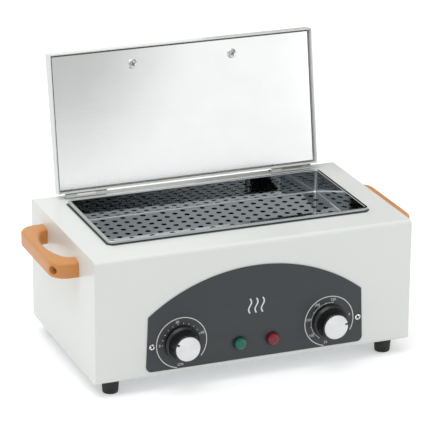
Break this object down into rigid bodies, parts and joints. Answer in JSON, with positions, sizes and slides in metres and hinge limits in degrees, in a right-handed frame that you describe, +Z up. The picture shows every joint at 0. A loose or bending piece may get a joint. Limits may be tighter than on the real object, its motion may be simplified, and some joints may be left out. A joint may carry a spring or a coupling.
{
  "type": "dry heat sterilizer",
  "caption": "Bench-top dry heat sterilizer: folded steel housing, perforated tray under a hinged lid, timer and thermostat knobs on an arched panel.",
  "frame": {"origin": "middle of the machine's outer box with its lid open, on the surface that its feet stand on", "axes": "+X to the right of someone who faces the controls, +Y to the back of the machine, +Z up"},
  "size_m": [0.3996, 0.27, 0.2991],
  "materials": {
    "cream_enamel": "smooth powder-coated steel",
    "zinc_sheet": "galvanised sheet",
    "black_rubber": "moulded rubber",
    "stainless": "bright stainless sheet",
    "mirror_steel": "mirror-polished stainless",
    "mica": "pressed mica",
    "glass_wool": "glass-fibre felt",
    "panel_grey": "screen-printed dark grey plate",
    "pale_moulding": "moulded thermoset",
    "black_moulding": "moulded thermoset",
    "copper": "drawn copper",
    "plated_steel": "zinc-plated steel",
    "knob_black": "satin moulded plastic",
    "spun_aluminium": "spun finish",
    "green_lens": "clear coloured plastic",
    "red_lens": "clear coloured plastic",
    "tan_moulding": "satin moulded phenolic"
  },
  "bodies": {
    "housing": {"housing_shell": "cream_enamel", "left_side_panel": "cream_enamel", "right_side_panel": "cream_enamel", "base_plate": "zinc_sheet", "feet": "black_rubber", "heating_chamber": "stainless", "perforated_tray": "stainless", "heater_plate": "mica", "chamber_insulation": "glass_wool", "thermal_cutout": "black_moulding", "terminal_block": "pale_moulding", "control_panel": "panel_grey", "panel_screws": "plated_steel", "timer_body": "pale_moulding", "thermostat_body": "zinc_sheet", "thermostat_bulb": "copper", "bulb_clips": "stainless", "green_lamp": "green_lens", "red_lamp": "red_lens", "left_handle": "tan_moulding", "right_handle": "tan_moulding", "side_handle_screws": "plated_steel", "left_base_hinge_leaf": "plated_steel", "right_base_hinge_leaf": "plated_steel", "base_hinge_screws": "plated_steel", "hinge_pins": "plated_steel", "mains_inlet": "black_moulding"},
    "lid": {"lid_shell": "cream_enamel", "lid_liner": "mirror_steel", "lid_insulation": "glass_wool", "lid_handle": "tan_moulding", "lid_screws": "plated_steel", "cup_washers": "plated_steel", "left_lid_hinge_leaf": "plated_steel", "right_lid_hinge_leaf": "plated_steel", "lid_hinge_screws": "plated_steel"},
    "timer_control": {"timer_knob": "knob_black", "timer_knob_cap": "spun_aluminium", "timer_shaft": "plated_steel"},
    "thermostat_control": {"thermostat_knob": "knob_black", "thermostat_knob_cap": "spun_aluminium", "thermostat_shaft": "plated_steel"}
  },
  "joints": [
    {"name": "lid_hinge", "type": "hinge", "parent": "housing", "child": "lid", "pos_m": [0, 0.07223, 0.1504], "axis": [1, 0, 0], "range_deg": [0, 99.2]},
    {"name": "timer_knob_turn", "type": "hinge", "parent": "housing", "child": "timer_control", "pos_m": [-0.081, -0.11617, 0.05], "axis": [0, 1, 0], "range_deg": [-114, 133]},
    {"name": "thermostat_knob_turn", "type": "hinge", "parent": "housing", "child": "thermostat_control", "pos_m": [0.081, -0.11617, 0.05], "axis": [0, 1, 0], "range_deg": [0, 290]}
  ]
}
